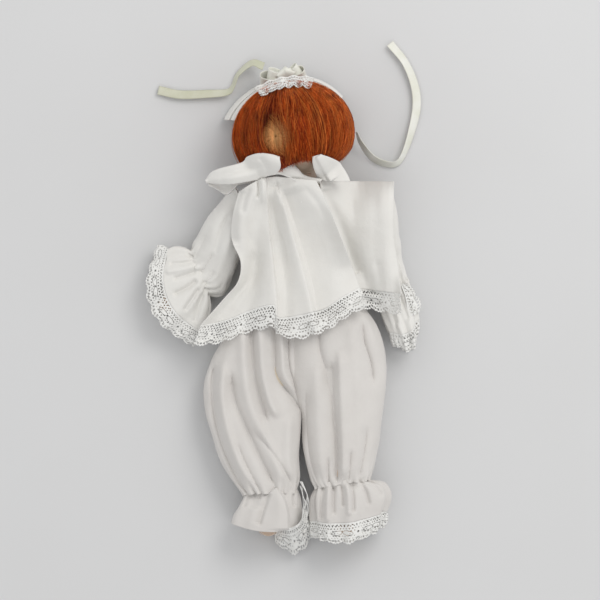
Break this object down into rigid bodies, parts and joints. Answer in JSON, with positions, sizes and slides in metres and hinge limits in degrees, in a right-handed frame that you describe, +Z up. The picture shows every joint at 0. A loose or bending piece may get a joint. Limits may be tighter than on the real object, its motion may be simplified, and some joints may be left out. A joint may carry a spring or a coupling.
{
  "type": "porcelain doll",
  "caption": "Small porcelain doll lying face down, with a cloth body, an auburn bob wig, a ribboned bonnet, a lace-hemmed smock and gathered pantaloons.",
  "frame": {"origin": "on the surface the doll lies on, at the underside of the smock front, below the middle of the back", "axes": "+Y from the feet to the head, +X to the doll's right as it lies face down, +Z up out of its back"},
  "size_m": [0.1406, 0.2547, 0.054],
  "materials": {
    "porcelain": "matt bisque, lightly tinted",
    "cotton": "plain-woven off-white cotton",
    "muslin": "unbleached muslin",
    "lace": "cotton edging lace",
    "stuffing": "loose fibre filling",
    "thread": "waxed thread",
    "elastic": "thread-covered elastic",
    "hair": "auburn mohair",
    "net": "open-woven wig net",
    "card": "pressed card",
    "eye_glass": "blown glass, opaque",
    "ribbon": "narrow ivory satin ribbon"
  },
  "bodies": {
    "torso": {"torso_cover": "muslin", "torso_stuffing": "stuffing", "neck_drawstring": "thread", "smock_front": "cotton", "smock_back_left": "cotton", "smock_back_right": "cotton", "collar_left": "cotton", "collar_right": "cotton", "hem_lace_front": "lace", "hem_lace_back_left": "lace", "hem_lace_back_right": "lace", "pants_seat": "cotton", "waist_elastic": "elastic"},
    "head": {"porcelain_head": "porcelain", "crown_pate": "card", "eye_left": "eye_glass", "eye_right": "eye_glass", "wig_cap": "net", "wig_hair": "hair", "bonnet_brim": "cotton", "bonnet_lace": "lace", "ribbon_bow": "ribbon", "ribbon_left": "ribbon", "ribbon_right": "ribbon"},
    "arm_left": {"upper_arm_cover_left": "muslin", "upper_arm_stuffing_left": "stuffing", "arm_binding_left": "thread", "forearm_left": "porcelain", "sleeve_left": "cotton", "cuff_elastic_left": "elastic", "cuff_ruffle_left": "cotton", "cuff_lace_left": "lace"},
    "arm_right": {"upper_arm_cover_right": "muslin", "upper_arm_stuffing_right": "stuffing", "arm_binding_right": "thread", "forearm_right": "porcelain", "sleeve_right": "cotton", "cuff_elastic_right": "elastic", "cuff_ruffle_right": "cotton", "cuff_lace_right": "lace"},
    "leg_left": {"thigh_cover_left": "muslin", "thigh_stuffing_left": "stuffing", "leg_binding_left": "thread", "lower_leg_left": "porcelain", "pants_leg_left": "cotton", "ankle_elastic_left": "elastic", "ankle_ruffle_left": "cotton", "ankle_lace_left": "lace"},
    "leg_right": {"thigh_cover_right": "muslin", "thigh_stuffing_right": "stuffing", "leg_binding_right": "thread", "lower_leg_right": "porcelain", "pants_leg_right": "cotton", "ankle_elastic_right": "elastic", "ankle_ruffle_right": "cotton", "ankle_lace_right": "lace"}
  },
  "joints": [
    {"name": "neck_swivel", "type": "hinge", "parent": "torso", "child": "head", "pos_m": [0.0025, 0.058, 0.025], "axis": [-0.1908, 0.9816, 0], "range_deg": [-30, 30], "deforming": ["collar_left", "collar_right", "ribbon_left", "ribbon_right"]},
    {"name": "shoulder_left", "type": "hinge", "parent": "torso", "child": "arm_left", "pos_m": [-0.0245, 0.0458, 0.0166], "axis": [0, 0, -1], "range_deg": [-6, 60], "deforming": ["upper_arm_cover_left", "upper_arm_stuffing_left", "sleeve_left", "smock_back_left", "hem_lace_back_left"]},
    {"name": "shoulder_right", "type": "hinge", "parent": "torso", "child": "arm_right", "pos_m": [0.031, 0.0458, 0.0166], "axis": [0, 0, 1], "range_deg": [0, 75], "deforming": ["upper_arm_cover_right", "upper_arm_stuffing_right", "sleeve_right", "smock_back_right", "hem_lace_back_right"]},
    {"name": "hip_left", "type": "hinge", "parent": "torso", "child": "leg_left", "pos_m": [-0.0125, -0.0205, 0.0126], "axis": [0, 0, -1], "range_deg": [0, 25], "deforming": ["thigh_cover_left", "thigh_stuffing_left", "pants_leg_left", "pants_seat"]},
    {"name": "hip_right", "type": "hinge", "parent": "torso", "child": "leg_right", "pos_m": [0.015, -0.0205, 0.0126], "axis": [0, 0, 1], "range_deg": [0, 25], "deforming": ["thigh_cover_right", "thigh_stuffing_right", "pants_leg_right", "pants_seat"]}
  ]
}
